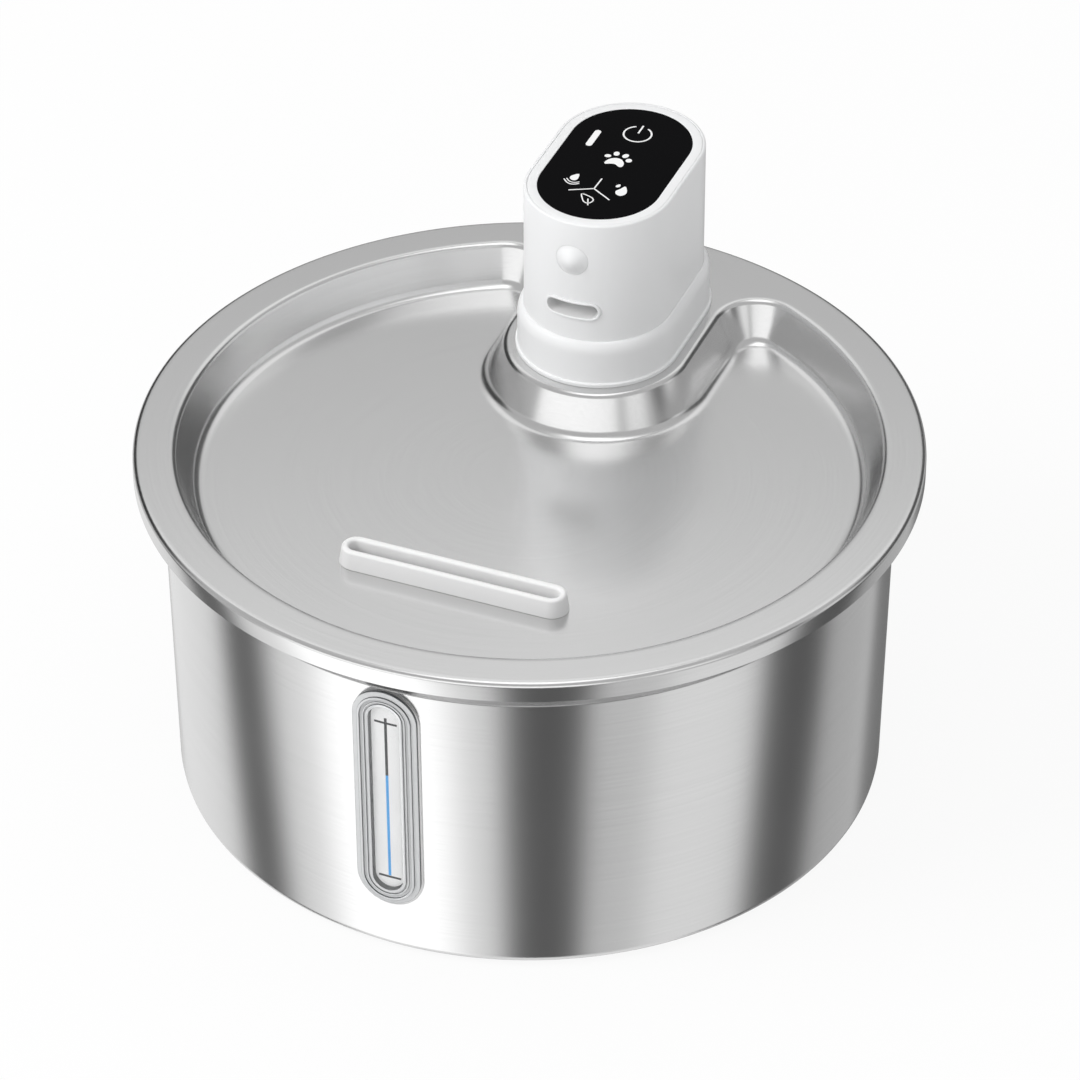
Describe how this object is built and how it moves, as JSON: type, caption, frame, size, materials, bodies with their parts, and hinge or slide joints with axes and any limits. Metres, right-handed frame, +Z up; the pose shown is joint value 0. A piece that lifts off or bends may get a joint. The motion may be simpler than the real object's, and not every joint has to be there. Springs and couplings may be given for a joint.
{
  "type": "pet water fountain",
  "caption": "Round steel drinking fountain: a flared bowl with a level window, a pressed tray lid with a drain slot, and an upright battery pump unit with a touch panel, outlet and sensor.",
  "frame": {"origin": "on the floor, on the axis of the bowl, under the foot pads", "axes": "+Z is up, -Y is the front with the level window and the outlet, +X is to the right seen from above with the front towards the viewer"},
  "size_m": [0.2212, 0.2212, 0.1596],
  "materials": {
    "steel": "bright stainless sheet with a fine brushed sheen",
    "screw_steel": "plain bright steel",
    "white_gloss": "smooth satin white",
    "white_matte": "matt white moulding",
    "black_gloss": "polished black",
    "clear": "clear polished plastic",
    "soft_pale": "matt pale silicone",
    "soft_dark": "matt dark seal",
    "grey_matte": "matt dark grey moulding",
    "board_green": "green circuit board",
    "cell_blue": "sleeved metal cell",
    "magnet_iron": "dark grey magnet",
    "yellow_plastic": "plain moulded wheel",
    "foam_grey": "open foam",
    "filter_white": "pressed filter fleece"
  },
  "bodies": {
    "bowl_base": {"bowl": "steel", "foot_pads": "soft_pale", "window_lens": "clear", "window_gasket": "soft_pale", "window_clamp": "white_matte", "window_screws": "screw_steel", "level_scale": "white_gloss"},
    "lid": {"tray_lid": "steel", "drain_collar": "soft_pale"},
    "pump_unit": {"tower_shell": "white_gloss", "skirt_ring": "white_gloss", "top_bezel": "white_gloss", "touch_panel": "black_gloss", "touch_board": "board_green", "sensor_lens": "white_matte", "motion_sensor": "screw_steel", "sensor_board": "board_green", "outlet_nozzle": "white_matte", "riser_tube": "clear", "riser_seals": "soft_dark", "column_housing": "white_matte", "column_deck": "white_matte", "deck_seal": "soft_dark", "deck_screws": "screw_steel", "main_board": "board_green", "charge_port": "screw_steel", "cell_holder": "grey_matte", "battery_cell_front": "cell_blue", "battery_cell_rear": "cell_blue", "motor_can": "screw_steel", "pump_case": "white_matte", "pump_plate": "white_matte", "volute": "white_matte", "impeller_shaft": "screw_steel"},
    "motor_rotor": {"motor_shaft": "screw_steel", "drive_magnet": "magnet_iron"},
    "impeller": {"impeller_wheel": "yellow_plastic", "impeller_magnet": "magnet_iron"},
    "filter": {"filter_drawer": "white_matte", "foam_pad": "foam_grey", "filter_cartridge": "filter_white"},
    "port_flap": {"port_cover": "soft_pale"}
  },
  "joints": [
    {"name": "lid_lift", "type": "slide", "parent": "bowl_base", "child": "lid", "axis": [0, 0, 1], "range_m": [0, 0.11]},
    {"name": "unit_lift", "type": "slide", "parent": "lid", "child": "pump_unit", "axis": [0, 0, 1], "range_m": [0, 0.106]},
    {"name": "filter_slide", "type": "slide", "parent": "pump_unit", "child": "filter", "axis": [0, -1, 0], "range_m": [0, 0.062]},
    {"name": "port_cover_hinge", "type": "hinge", "parent": "pump_unit", "child": "port_flap", "pos_m": [0, 0.0966, 0.134], "axis": [1, 0, 0], "range_deg": [0, 85]},
    {"name": "motor_spin", "type": "hinge", "parent": "pump_unit", "child": "motor_rotor", "pos_m": [0, 0.0643, 0.0343], "axis": [0, 0, 1], "continuous": true},
    {"name": "impeller_spin", "type": "hinge", "parent": "pump_unit", "child": "impeller", "pos_m": [0, 0.0643, 0.0265], "axis": [0, 0, 1], "continuous": true}
  ],
  "couplings": [
    {"joint": "impeller_spin", "follows": "motor_spin", "ratio": 1}
  ]
}
